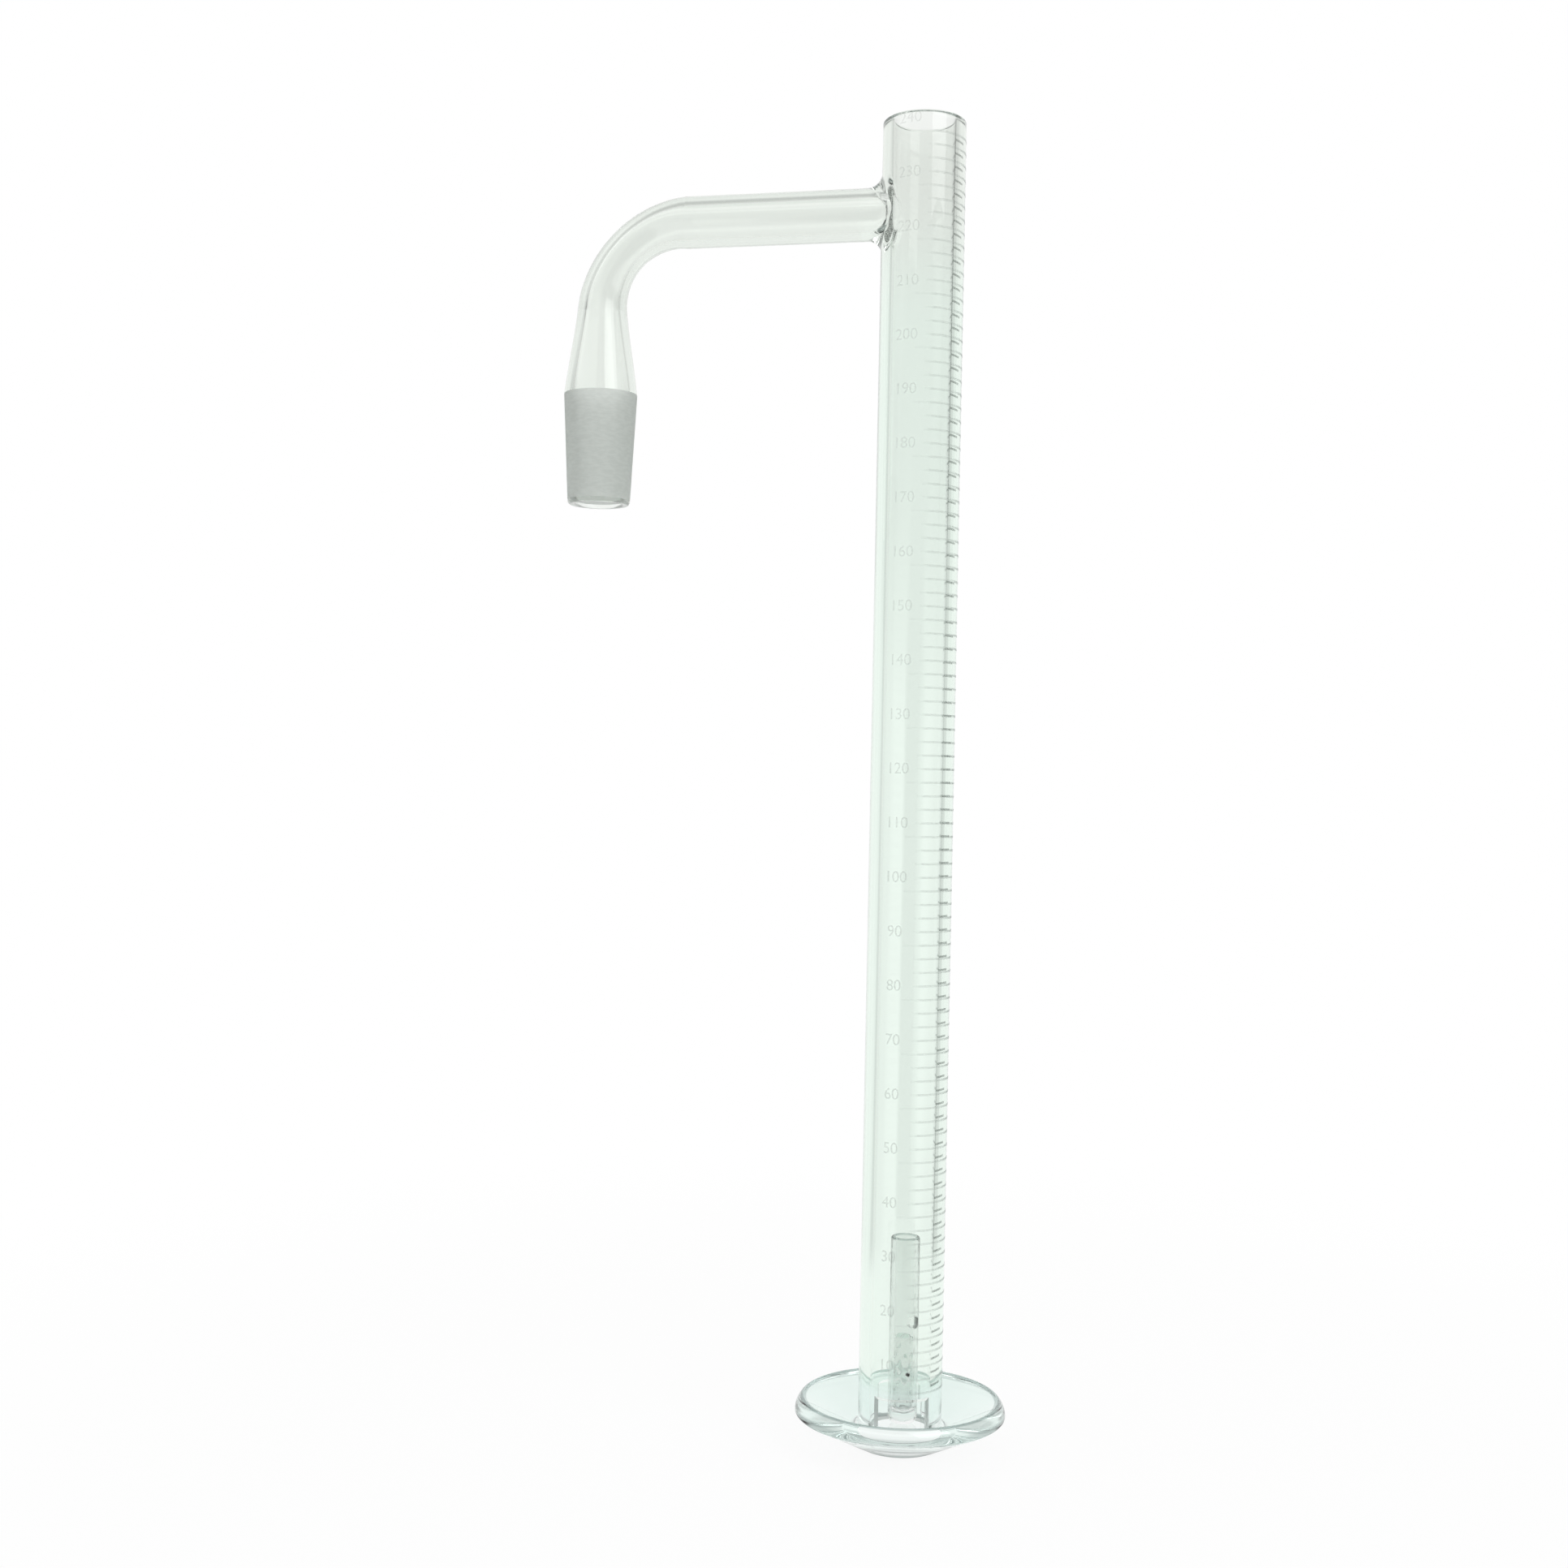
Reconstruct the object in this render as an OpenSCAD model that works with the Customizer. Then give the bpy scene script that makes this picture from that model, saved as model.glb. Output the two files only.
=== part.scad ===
// Graduated glass column in a dish, with a bent side arm that ends in a ground cone.
// Millimetres. The foot's centre is the origin, the column rises along +Z, the arm leaves along -X.

/* [Column] */
// Height from the foot to the rim
height = 254; // [180:1:320]
// Outside diameter of the column
column_d = 16; // [14:0.1:24]
// Wall of the column
column_wall = 2.2; // [1.2:0.1:3]
// Rounding of the rim's edges
rim_round = 0.5; // [0.1:0.05:0.55]
// Width of the two slots in the column's base, one before and one behind
slot_w = 9; // [4:0.1:10]
// Direction that the front slot faces, turned from straight ahead
slot_turn = 12; // [-45:1:45]
// Height of the base slots
slot_h = 6.3; // [2:0.1:9]
// Leg of the weld bead around the column's base
bead_leg = 0.7; // [0.3:0.05:1.2]

/* [Dish] */
// Widest diameter of the dish
dish_d = 40.3; // [36:0.1:60]
// Height of the widest line
dish_widest_z = 6.5; // [5.4:0.1:9]
// Rise of the lip above the widest line
lip_rise = 2.8; // [1.5:0.1:4]
// Distance that the lip's top edge lies inside the widest line
lip_inset = 1.4; // [0.8:0.1:2.5]
// Rounding under the widest line
lip_under_r = 0.6; // [0.4:0.1:1.6]
// Diameter of the flat foot
foot_d = 15.6; // [12:0.1:20]
// Thickness of the dish's floor
floor_t = 4.2; // [3.4:0.1:5]
// Room between the column and the edge of the flat floor
floor_margin = 1.5; // [1.2:0.1:2.5]

/* [Side arm] */
// Outside diameter of the arm
arm_d = 10; // [8:0.1:12]
// Wall of the arm
arm_wall = 1.7; // [1:0.1:2.2]
// Distance of the arm's axis below the rim
arm_drop = 17.3; // [12:0.1:40]
// Distance between the column's axis and the joint's axis
arm_reach = 64; // [45:0.5:90]
// Radius of the weld fillet between arm and column
weld_r = 3; // [1:0.1:4]
// Radius of the bend's centre line
bend_r = 17.3; // [12:0.1:25]
// Outside diameter at the end of the bend
neck_d = 9.9; // [7:0.1:11]
// Diameter lost in the middle of the bend
bend_squeeze = 1.4; // [0:0.1:2]
// Length of the flared shank below the bend
shank_len = 16.3; // [8:0.1:30]

/* [Ground joint] */
// Large diameter of the ground cone
joint_d = 14.5; // [12:0.1:20]
// Length of the ground cone
joint_len = 21.9; // [15:0.1:30]
// Length of cone for each millimetre lost in diameter
joint_taper = 10; // [8:0.5:14]
// Wall of the ground cone
joint_wall = 1.6; // [1:0.1:2.2]
// Rounding of the open end
tip_round = 0.6; // [0.2:0.05:0.7]

/* [Scale] */
// Height of one numbered step
scale_pitch = 10.23; // [6:0.01:14]
// Room left bare between the highest line and the rim
scale_margin = 3; // [1:0.5:20]
// Smaller steps in one numbered step
scale_steps = 4; // [2:1:5]
// Height of the scale's zero above the dish's floor
scale_zero = 0.2; // [0:0.1:2]
// Width of a line
tick_w = 0.4; // [0.2:0.05:0.8]
// Thickness of a line
tick_t = 0.1; // [0.08:0.01:0.2]
// Direction in which a line starts
tick_start = -76; // [-100:1:-40]
// Arc of an ordinary line
tick_arc = 100; // [40:1:140]
// Extra arc of a numbered line, before its start
tick_lead = 14; // [4:1:40]

/* [Pillar] */
// Outside diameter of the loose pillar
pillar_d = 5.6; // [4:0.1:7]
// Length of the pillar
pillar_len = 36; // [20:0.1:60]
// Wall of the pillar
pillar_wall = 0.85; // [0.5:0.05:1.2]
// Thickness of the pillar's closed end
pillar_end = 2.4; // [1:0.1:4]
// Distance of the pillar's axis from the column's
pillar_offset = 0.5; // [0:0.1:1.2]
// Height of the side port's centre above the pillar's foot
port_z = 20; // [14:0.1:26]
// Diameter of the side port
port_d = 2.4; // [1:0.1:3]
// Direction that the side port faces
port_turn = -35; // [-180:1:180]
// Height of the pinhole above the pillar's foot
pinhole_z = 10.1; // [6:0.1:12]
// Diameter of the pinhole
pinhole_d = 0.9; // [0.4:0.1:1.4]
// Direction that the pinhole faces
pinhole_turn = -70; // [-180:1:180]
// Length of the twisted core
core_len = 14.5; // [8:0.1:22]
// Gap between the core's flutes and the bore
core_gap = 0.15; // [0.05:0.05:0.4]
// Flutes on the core
core_flutes = 5; // [3:1:8]
// Turn of the flutes along the core
core_twist = 300; // [90:10:540]

/* [Hidden] */
$fn = 96;
eps = 0.01;
reach_past = 1;
arc_steps = 10;
column_r = column_d / 2;
bore_r = column_r - column_wall;
dish_r = dish_d / 2;
foot_r = foot_d / 2;
foot_edge = 0.5;
floor_r = column_r + floor_margin;
lip_r = (lip_rise * lip_rise + lip_inset * lip_inset) / (2 * lip_inset);
lip_sweep = asin(lip_rise / lip_r);
arm_r = arm_d / 2;
arm_bore_r = arm_r - arm_wall;
arm_z = height - arm_drop;
bend_x = -arm_reach + bend_r;
neck_r = neck_d / 2;
shank_top = arm_z - bend_r;
joint_top = shank_top - shank_len;
joint_r = joint_d / 2;
joint_bottom = joint_top - joint_len;
tip_r = joint_r - joint_len / joint_taper / 2;
scale_base = floor_t + scale_zero;
scale_step = scale_pitch / scale_steps;
scale_units = floor((height - scale_margin - scale_base) / scale_pitch);
lowest_line = floor_t + slot_h + tick_w;
pillar_r = pillar_d / 2;
pillar_bore_r = pillar_r - pillar_wall;
end_round = 1.6;
core_r = pillar_bore_r - core_gap;
flute_depth = 0.35;
weld_seat = 0.02;
weld_turns = 40;
weld_rows = 6;
bend_rings = 12;
bend_sides = 32;
core_slices = 20;
core_sides = 30;

// Points of an arc from angle a to angle b
function arc(cx, cy, r, a, b, steps = arc_steps) =
    [for (i = [0:steps]) let (t = a + (b - a) * i / steps) [cx + r * cos(t), cy + r * sin(t)]];

// Angle of the underside's cone, which touches the rounding under the widest line
function under_angle() =
    let (dx = dish_r - lip_under_r - foot_r, dz = dish_widest_z)
    atan2(dz, dx) - asin(lip_under_r / norm([dx, dz]));

module glass() { color([0.86, 0.94, 0.90, 0.45]) children(); }
module frosted() { color([0.75, 0.79, 0.77]) children(); }
module mark() { color([0.62, 0.66, 0.64]) children(); }

// Everything inside the column's outside surface
module column_space() {
    translate([0, 0, -reach_past]) cylinder(h = height + 2 * reach_past, r = column_r);
}

module dish() {
    angle = under_angle();
    glass() rotate_extrude() polygon(concat(
        [[0, 0], [foot_r - foot_edge, 0]],
        [[foot_r + foot_edge * cos(angle), foot_edge * sin(angle)]],
        arc(dish_r - lip_under_r, dish_widest_z, lip_under_r, angle - 90, 0),
        arc(dish_r - lip_r, dish_widest_z, lip_r, lip_sweep / arc_steps, lip_sweep),
        [[floor_r, floor_t], [0, floor_t]]
    ));
}

module base_slots() {
    rotate(slot_turn) translate([-slot_w / 2, -dish_r, floor_t - reach_past])
        cube([slot_w, dish_d, slot_h + reach_past]);
}

module column_tube() {
    glass() difference() {
        rotate_extrude() polygon(concat(
            [[bore_r, floor_t], [column_r, floor_t]],
            arc(column_r - rim_round, height - rim_round, rim_round, 0, 90),
            arc(bore_r + rim_round, height - rim_round, rim_round, 90, 180)
        ));
        base_slots();
        translate([0, 0, arm_z]) rotate([0, -90, 0]) cylinder(h = column_d, r = arm_bore_r);
    }
}

module base_weld() {
    glass() difference() {
        rotate_extrude() polygon([
            [column_r, floor_t], [column_r + bead_leg, floor_t], [column_r, floor_t + bead_leg]
        ]);
        base_slots();
    }
}

module side_arm() {
    glass() difference() {
        translate([0, 0, arm_z]) rotate([0, -90, 0]) cylinder(h = -bend_x, r = arm_r);
        translate([reach_past, 0, arm_z]) rotate([0, -90, 0])
            cylinder(h = -bend_x + 2 * reach_past, r = arm_bore_r);
        column_space();
    }
}

// Fillet left by a ball that rolls around the arm and stays in touch with arm and column
function ball(t) =
    let (y = (arm_r + weld_r) * sin(t), z = (arm_r + weld_r) * cos(t))
    [-sqrt(pow(column_r + weld_r, 2) - y * y), y, z];
function fillet_point(t, k) =
    let (
        c = ball(t),
        to_arm = [0, -sin(t), -cos(t)],
        to_column = -[c.x, c.y, 0] / norm([c.x, c.y]),
        between = to_arm * cos(90 * k) + to_column * sin(90 * k)
    )
    c + (weld_r - weld_seat) * between / norm(between);
// Line where the arm meets the column, which the fillet fills up to
function root_point(t) =
    let (y = (arm_r + weld_seat) * sin(t), z = (arm_r + weld_seat) * cos(t))
    [-sqrt(pow(column_r + weld_seat, 2) - y * y), y, z];

module arm_weld() {
    row = weld_rows + 2;
    rings = [for (i = [0:weld_turns - 1]) let (t = 360 * i / weld_turns)
        concat([for (k = [0:weld_rows]) fillet_point(t, k / weld_rows)], [root_point(t)])];
    points = [for (ring = rings) each ring];
    faces = [for (i = [0:weld_turns - 1]) for (k = [0:row - 1]) let (
        a = i * row + k,
        b = i * row + (k + 1) % row,
        c = ((i + 1) % weld_turns) * row + (k + 1) % row,
        d = ((i + 1) % weld_turns) * row + k
    ) each [[a, c, b], [a, d, c]]];
    glass() translate([0, 0, arm_z]) polyhedron(points, faces);
}

// The bend changes evenly from the arm to the neck, and is squeezed in its middle
function bend_point(turn, side, wall) =
    let (
        share = turn / 90,
        r = arm_r + (neck_r - arm_r) * share - bend_squeeze / 2 * sin(180 * share) - wall,
        out = bend_r + r * cos(side)
    )
    [bend_x - out * sin(turn), r * sin(side), shank_top + out * cos(turn)];

module elbow() {
    count = (bend_rings + 1) * bend_sides;
    points = [for (wall = [0, arm_wall]) for (i = [0:bend_rings]) for (j = [0:bend_sides - 1])
        bend_point(90 * i / bend_rings, 360 * j / bend_sides, wall)];
    skin = [for (i = [0:bend_rings - 1]) for (j = [0:bend_sides - 1]) let (
        a = i * bend_sides + j,
        b = i * bend_sides + (j + 1) % bend_sides
    ) each [[a, b, b + bend_sides], [a, b + bend_sides, a + bend_sides]]];
    lining = [for (f = skin) [f[0] + count, f[2] + count, f[1] + count]];
    ends = [for (i = [0, bend_rings]) for (j = [0:bend_sides - 1]) let (
        a = i * bend_sides + j,
        b = i * bend_sides + (j + 1) % bend_sides
    ) each i == 0
        ? [[a, a + count, b + count], [a, b + count, b]]
        : [[a, b + count, a + count], [a, b, b + count]]];
    glass() polyhedron(points, concat(skin, lining, ends));
}

module joint_shank() {
    glass() translate([-arm_reach, 0, joint_top]) difference() {
        cylinder(h = shank_len, r1 = joint_r, r2 = neck_r);
        translate([0, 0, -eps])
            cylinder(h = shank_len + 2 * eps, r1 = joint_r - joint_wall, r2 = neck_r - arm_wall);
    }
}

module ground_joint() {
    slope = atan2(1, 2 * joint_taper);
    frosted() translate([-arm_reach, 0, joint_bottom]) rotate_extrude() polygon(concat(
        [[joint_r - joint_wall, joint_len]],
        arc(tip_r - joint_wall + tip_round, tip_round, tip_round, 180 - slope, 270),
        arc(tip_r - tip_round, tip_round, tip_round, -90, -slope),
        [[joint_r, joint_len]]
    ));
}

module tick(z, from, sweep) {
    rotate([0, 0, from]) rotate_extrude(angle = sweep)
        translate([column_r, z - tick_w / 2]) square([tick_t, tick_w]);
}

module scale_unit_ticks() {
    mark() for (n = [1:scale_units]) let (z = scale_base + n * scale_pitch) if (z > lowest_line)
        tick(z, tick_start - tick_lead, tick_arc + tick_lead);
}

module scale_quarter_ticks() {
    mark() for (n = [0:scale_units - 1]) for (k = [1:scale_steps - 1])
        let (z = scale_base + n * scale_pitch + k * scale_step) if (z > lowest_line)
            tick(z, tick_start, tick_arc);
}

module pillar_place() { translate([pillar_offset, 0, floor_t]) children(); }

module side_hole(z, d, turn) {
    translate([0, 0, z]) rotate([0, 0, turn]) rotate([0, 90, 0]) cylinder(h = pillar_d, d = d);
}

module pillar_tube() {
    lip = pillar_wall / 2;
    glass() pillar_place() difference() {
        rotate_extrude() polygon(concat(
            [[0, 0]],
            arc(pillar_r - end_round, end_round, end_round, -90, 0),
            arc(pillar_r - lip, pillar_len - lip, lip, 0, 180),
            [[pillar_bore_r, pillar_end], [0, pillar_end]]
        ));
        side_hole(port_z, port_d, port_turn);
        side_hole(pinhole_z, pinhole_d, pinhole_turn);
    }
}

module pillar_core() {
    frosted() pillar_place() translate([0, 0, pillar_end])
        linear_extrude(height = core_len, twist = core_twist, slices = core_slices, $fn = core_sides)
            polygon([for (i = [0:core_sides - 1]) let (
                a = 360 * i / core_sides,
                r = core_r - flute_depth * (1 - cos(core_flutes * a)) / 2
            ) [r * cos(a), r * sin(a)]]);
}

dish();
column_tube();
base_weld();
side_arm();
arm_weld();
elbow();
joint_shank();
ground_joint();
scale_unit_ticks();
scale_quarter_ticks();
pillar_tube();
pillar_core();
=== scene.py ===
import math

import bpy
from mathutils import Euler, Matrix, Vector


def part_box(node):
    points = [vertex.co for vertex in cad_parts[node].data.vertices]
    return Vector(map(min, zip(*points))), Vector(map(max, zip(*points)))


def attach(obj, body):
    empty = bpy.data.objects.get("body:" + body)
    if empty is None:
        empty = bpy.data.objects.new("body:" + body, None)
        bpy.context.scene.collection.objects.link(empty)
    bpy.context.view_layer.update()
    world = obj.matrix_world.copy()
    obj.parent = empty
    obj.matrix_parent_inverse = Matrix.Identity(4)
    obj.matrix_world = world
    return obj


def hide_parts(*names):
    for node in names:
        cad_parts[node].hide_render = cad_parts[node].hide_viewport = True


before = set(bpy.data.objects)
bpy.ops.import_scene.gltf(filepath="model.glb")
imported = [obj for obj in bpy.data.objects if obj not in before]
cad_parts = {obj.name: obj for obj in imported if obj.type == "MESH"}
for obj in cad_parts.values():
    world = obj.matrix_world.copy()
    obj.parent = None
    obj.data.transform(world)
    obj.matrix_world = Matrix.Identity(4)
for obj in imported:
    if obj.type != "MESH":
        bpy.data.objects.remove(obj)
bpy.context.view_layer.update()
mm = 0.001

# Camera
# The view is level with the middle of the column, a little to the right of square-on, so that the
# side arm goes back from the camera. The picture leans by about one degree.
picture_width = 1932
focal_pixels = 2373
view_turn = math.radians(12.0)
view_lean = math.radians(1.13)
view_distance = 370.2 * mm
view_sideways = 24.6 * mm
eye_height = 126.4 * mm

bpy.ops.object.select_all(action="DESELECT")
bpy.ops.object.camera_add()
camera = bpy.context.object
camera.data.sensor_width = 36
camera.data.lens = camera.data.sensor_width * focal_pixels / picture_width
camera.data.clip_start = 1 * mm
back = Vector((math.sin(view_turn), -math.cos(view_turn), 0))
right = Vector((math.cos(view_turn), math.sin(view_turn), 0))
spot = Vector((0, 0, eye_height)) + back * view_distance - right * view_sideways
upright = Euler((math.pi / 2, 0, view_turn)).to_matrix().to_4x4()
camera.matrix_world = Matrix.Translation(spot) @ upright @ Matrix.Rotation(view_lean, 4, "Z")
bpy.context.scene.camera = camera


# Glass
# All of it is clear, faintly green lab glass. Drawn tube keeps fine lines along its length, and
# handling leaves a thin haze. Faces where two pieces are melted together can't be seen.
class Wire:
    """A shader socket on which ordinary arithmetic adds Math nodes."""

    def __init__(self, tree, socket=None):
        self.tree = tree
        self.socket = socket

    def add(self, kind, settings, inputs, out=0):
        node = self.tree.nodes.new(kind)
        for key, value in settings.items():
            setattr(node, key, value)
        for key, value in inputs.items():
            if isinstance(value, Wire):
                self.tree.links.new(value.socket, node.inputs[key])
            else:
                node.inputs[key].default_value = value
        return Wire(self.tree, node.outputs[out])

    def math(self, operation, first, second):
        return self.add("ShaderNodeMath", {"operation": operation}, {0: first, 1: second})

    def __add__(self, other):
        return self.math("ADD", self, other)

    def __sub__(self, other):
        return self.math("SUBTRACT", self, other)

    def __rsub__(self, other):
        return self.math("SUBTRACT", other, self)

    def __mul__(self, other):
        return self.math("MULTIPLY", self, other)

    __radd__ = __add__
    __rmul__ = __mul__

    def between(self, low, high):
        """A smooth step from 0 at low to 1 at high."""
        settings = {"interpolation_type": "SMOOTHSTEP"}
        return self.add("ShaderNodeMapRange", settings, {"Value": self, "From Min": low, "From Max": high})


glass_ior = 1.46
haze_scale = 160
haze_roughness = 0.012
draw_line_scale = 420
draw_line_strength = 0.02
draw_line_depth = 0.2 * mm
green_tint = (0.85, 0.948, 0.875, 1)
plain_tint = (0.815, 0.862, 0.81, 1)
base_tint = (0.965, 1, 0.99, 1)
dish_tint = (0.83, 0.935, 0.895, 1)
# Dark green-grey of the painted shade lines on the dish and along the pillar's rim.
painted_shade_tint = (0.25, 0.34, 0.32, 1)
no_tint = (1, 1, 1, 1)


def new_finish(name):
    """A material with its surface shader and a wire of the piece's own coordinates."""
    material = bpy.data.materials.new(name)
    material.use_nodes = True
    shader = material.node_tree.nodes["Principled BSDF"]
    place = Wire(material.node_tree).add("ShaderNodeTexCoord", {}, {}, out="Object")
    return material, shader, place


def feed(shader, name, wire):
    wire.tree.links.new(wire.socket, shader.inputs[name])


def noise(place, scale, stretch=(1, 1, 1), detail=2.0):
    squeezed = place.add("ShaderNodeMapping", {}, {"Vector": place, "Scale": stretch})
    return place.add("ShaderNodeTexNoise", {}, {"Vector": squeezed, "Scale": scale, "Detail": detail})


def blend(share, first, second):
    """A colour between two, by a wire that goes from 0 to 1."""
    inputs = {"Factor": share, 6: first, 7: second}
    return share.add("ShaderNodeMix", {"data_type": "RGBA"}, inputs, out=2)


def height_of(place):
    return place.add("ShaderNodeSeparateXYZ", {}, {"Vector": place}, out="Z")


def clear_glass(name, stretch, tint, softness=0.0):
    """Clear glass with draw lines along the axis that stretch squeezes."""
    material, shader, place = new_finish(name)
    shader.inputs["IOR"].default_value = glass_ior
    shader.inputs["Transmission Weight"].default_value = 1
    shader.inputs["Base Color"].default_value = tint
    haze = noise(place, haze_scale).between(0.5, 0.8)
    feed(shader, "Roughness", softness + haze * haze_roughness)
    lines = noise(place, draw_line_scale, stretch, 3.0)
    bump = {"Height": lines, "Strength": draw_line_strength, "Distance": draw_line_depth}
    feed(shader, "Normal", place.add("ShaderNodeBump", {}, bump))
    return material


melted, melted_shader, _ = new_finish("melted_joint")
melted_shader.inputs["Alpha"].default_value = 0

sides = 160
smooth_angle = math.radians(35)


def arc(centre, height, radius, first, last, steps=10):
    """Points of an arc on an outline, between two angles in degrees."""
    turns = [math.radians(first + (last - first) * i / steps) for i in range(steps + 1)]
    return [(centre + radius * math.cos(t), height + radius * math.sin(t)) for t in turns]


def start_ring(name, radius, place, turn=(0, 0, 0), count=sides):
    bpy.ops.object.select_all(action="DESELECT")
    bpy.ops.mesh.primitive_circle_add(vertices=count, radius=radius, location=place, rotation=turn)
    piece = bpy.context.object
    piece.name = name
    piece.data.name = name
    bpy.ops.object.transform_apply()
    bpy.ops.object.mode_set(mode="EDIT")
    bpy.ops.mesh.select_all(action="SELECT")
    return piece


def close_up(piece, ring):
    """Join the two open edges into a ring, or cap them, and finish the skin."""
    bpy.ops.mesh.select_mode(type="EDGE")
    bpy.ops.mesh.select_all(action="DESELECT")
    bpy.ops.mesh.select_non_manifold(
        use_wire=False, use_multi_face=False, use_non_contiguous=False, use_verts=False
    )
    if ring:
        bpy.ops.mesh.bridge_edge_loops()
    else:
        bpy.ops.mesh.fill_holes(sides=0)
    bpy.ops.mesh.select_all(action="SELECT")
    bpy.ops.mesh.normals_make_consistent(inside=False)
    bpy.ops.object.mode_set(mode="OBJECT")
    bpy.ops.object.shade_smooth_by_angle(angle=smooth_angle)
    return piece


def turned(name, outline, ring=False, axis_x=0.0, count=sides):
    """Turn an outline of (radius, height) points about an upright line."""
    radius, height = outline[0]
    piece = start_ring(name, radius, (axis_x, 0, height), count=count)
    for (r, z), (next_r, next_z) in zip(outline, outline[1:]):
        bpy.ops.mesh.extrude_edges_move(TRANSFORM_OT_translate={"value": (0, 0, next_z - z)})
        grow = next_r / r
        bpy.ops.transform.resize(value=(grow, grow, 1), center_override=(axis_x, 0, next_z))
    return close_up(piece, ring)


def cut(piece, tool, operation="DIFFERENCE"):
    """Carve the tool out of the piece, or add it, and drop the tool."""
    bpy.ops.object.select_all(action="DESELECT")
    bpy.context.view_layer.objects.active = piece
    piece.select_set(True)
    bpy.ops.object.modifier_add(type="BOOLEAN")
    change = piece.modifiers[-1]
    change.operation = operation
    change.object = tool
    bpy.ops.object.modifier_apply(modifier=change.name)
    bpy.data.objects.remove(tool)


skin_face, melted_face, bore_face, fourth_face, fifth_face = range(5)


def coat(piece, skin, melts, bore=None, axis=None):
    """Give the piece its skin, a colourless bore, and the melted finish where melts says so."""
    piece.data.materials.clear()
    for material in (skin, melted, bore or skin):
        piece.data.materials.append(material)
    for face in piece.data.polygons:
        if melts(face.center, face.normal):
            face.material_index = melted_face
        elif axis and (face.center - axis(face.center)).dot(face.normal) < 0:
            face.material_index = bore_face
        else:
            face.material_index = skin_face


def place_on(piece, body, slot, *nodes):
    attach(piece, body)
    if nodes:
        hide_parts(*nodes)


along_z = (1, 1, 0.01)
along_x = (0.01, 1, 1)
nowhere = (1, 1, 1)
near = 0.005 * mm

# Dish
# A thick cone-shaped dish of clear glass with a flat foot. Its lip is rounded in the flame, and the
# column's two legs are melted to its floor.
dish_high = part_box("dish")[1]
column_low, column_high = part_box("column_tube")
floor_level = column_low[2]
column_r = column_high[0]
dish_r = dish_high[0]
lip_rise = 2.8 * mm
lip_inset = 1.4 * mm
lip_under_r = 0.6 * mm
lip_top_r = 0.5 * mm
lip_lean = 6
foot_r = 7.8 * mm
foot_round = 0.6 * mm
foot_middle_r = 3 * mm
contact_r = 5.7 * mm
floor_r = column_r + 1.5 * mm
floor_middle_r = column_r - 4 * mm
dish_sides = 400
# Strengths of the painted shade lines at the lip and at the widest ring.
lip_painted_shade = 0.95
waist_painted_shade = 0.6
widest_z = dish_high[2] - lip_rise
lip_r = (lip_rise**2 + lip_inset**2) / (2 * lip_inset)
lip_x = dish_r - lip_r
lip_sweep = math.degrees(math.asin(lip_rise / lip_r)) - lip_lean
lip_turn = math.radians(lip_sweep)
lip_top = Vector((math.cos(lip_turn), math.sin(lip_turn))) * (lip_r - lip_top_r)
inner_slope = math.degrees(math.atan2(dish_high[2] - floor_level, dish_r - lip_inset - floor_r))
under_run = dish_r - lip_under_r - foot_r
under_angle = math.degrees(
    math.atan2(widest_z, under_run) - math.asin(lip_under_r / math.hypot(under_run, widest_z))
)
foot_x = foot_r - foot_round * math.tan(math.radians(under_angle / 2))
dish_outline = [(foot_middle_r, 0), (contact_r, 0)]
dish_outline += arc(foot_x, foot_round, foot_round, -90, under_angle - 90)
dish_outline += arc(dish_r - lip_under_r, widest_z, lip_under_r, under_angle - 90, 0)
dish_outline += arc(lip_x, widest_z, lip_r, 0, lip_sweep)[1:]
dish_outline += arc(lip_x + lip_top.x, widest_z + lip_top.y, lip_top_r, lip_sweep, inner_slope + 90)[1:]
dish_outline += [(floor_r, floor_level), (floor_middle_r, floor_level)]
dish = turned("dish_glass", dish_outline, count=dish_sides)


def tinted(material, tint_at):
    """Give a glass the tint that tint_at makes of the piece's own coordinates."""
    tree = material.node_tree
    place = Wire(tree).add("ShaderNodeTexCoord", {}, {}, out="Object")
    feed(tree.nodes["Principled BSDF"], "Base Color", tint_at(place))
    return material


def vector_math(operation, first, second=None, out=0):
    inputs = {0: first} if second is None else {0: first, 1: second}
    return first.add("ShaderNodeVectorMath", {"operation": operation}, inputs, out)


def dish_tint_and_painted_shade(place):
    """Painted shade: darker lines at the lip, the widest ring and the foot, in place of the dark edges
    that light running a long way in the glass gives there.
    """
    from_axis = vector_math("LENGTH", vector_math("MULTIPLY", place, (1, 1, 0)), None, "Value")
    height = height_of(place)
    lip = height.between(dish_high[2] - 0.48 * mm, dish_high[2] - 0.3 * mm) * lip_painted_shade
    waist = from_axis.between(dish_r - 0.18 * mm, dish_r - 0.06 * mm) * waist_painted_shade
    foot = from_axis.between(foot_r - 0.7 * mm, foot_r - 0.4 * mm)
    foot = foot * (1 - height.between(0.5 * mm, 0.8 * mm))
    edges = height.math("MAXIMUM", height.math("MAXIMUM", lip, waist), foot)
    return blend(edges, dish_tint, painted_shade_tint)


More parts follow.
